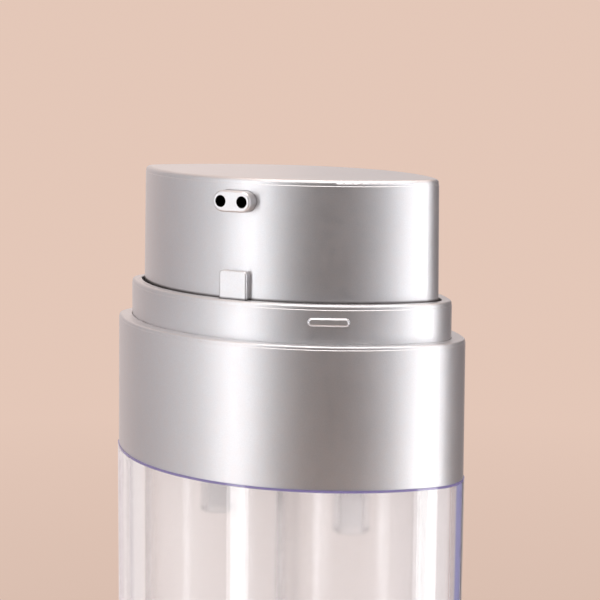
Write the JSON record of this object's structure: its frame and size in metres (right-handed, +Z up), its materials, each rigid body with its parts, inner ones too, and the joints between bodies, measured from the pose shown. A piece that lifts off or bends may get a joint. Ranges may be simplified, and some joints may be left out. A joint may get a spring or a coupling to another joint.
{
  "type": "airless pump bottle",
  "caption": "Oval clear airless bottle with twin round chambers, satin silver collars and one push actuator that works both pumps through a paired-outlet nozzle.",
  "frame": {"origin": "centre of the base, on the plane the bottle stands on", "axes": "+Z up along the bottle, +X along the oval's long axis, the nozzle faces -Y"},
  "size_m": [0.056, 0.0352, 0.13],
  "materials": {
    "clear_bottle": "clear polished",
    "clear_chamber": "clear polished",
    "satin_silver": "satin silver metallised",
    "natural_plastic": "natural moulded",
    "frosted_plastic": "translucent moulded",
    "white_seal": "waxy moulded",
    "soft_seal": "smooth",
    "steel": "drawn bright"
  },
  "bodies": {
    "bottle": {"outer_bottle": "clear_bottle", "outer_collar": "satin_silver", "inner_collar": "satin_silver", "pump_carrier": "natural_plastic", "left_chamber": "clear_chamber", "right_chamber": "clear_chamber", "left_pump_housing": "frosted_plastic", "right_pump_housing": "frosted_plastic", "left_gasket": "soft_seal", "right_gasket": "soft_seal", "left_pump_cap": "natural_plastic", "right_pump_cap": "natural_plastic", "left_spring": "steel", "right_spring": "steel"},
    "actuator": {"actuator_shell": "satin_silver", "actuator_core": "natural_plastic", "nozzle_insert": "satin_silver", "left_stem": "natural_plastic", "right_stem": "natural_plastic", "left_pump_piston": "white_seal", "right_pump_piston": "white_seal"},
    "left_follower": {"left_follower_piston": "white_seal"},
    "left_ball": {"left_inlet_ball": "steel"},
    "right_follower": {"right_follower_piston": "white_seal"},
    "right_ball": {"right_inlet_ball": "steel"}
  },
  "joints": [
    {"name": "actuator_press", "type": "slide", "parent": "bottle", "child": "actuator", "axis": [0, 0, -1], "range_m": [0, 0.005], "stiffness_N_per_m": 900, "springref_m": -0.005, "deforming": ["left_spring", "right_spring"]},
    {"name": "left_follower_rise", "type": "slide", "parent": "bottle", "child": "left_follower", "axis": [0, 0, 1], "range_m": [0, 0.0741]},
    {"name": "right_follower_rise", "type": "slide", "parent": "bottle", "child": "right_follower", "axis": [0, 0, 1], "range_m": [0, 0.0741]},
    {"name": "left_ball_lift", "type": "slide", "parent": "bottle", "child": "left_ball", "axis": [0, 0, 1], "range_m": [0, 0.001]},
    {"name": "right_ball_lift", "type": "slide", "parent": "bottle", "child": "right_ball", "axis": [0, 0, 1], "range_m": [0, 0.001]}
  ],
  "couplings": [
    {"joint": "right_follower_rise", "follows": "left_follower_rise", "ratio": 1},
    {"joint": "right_ball_lift", "follows": "left_ball_lift", "ratio": 1}
  ]
}
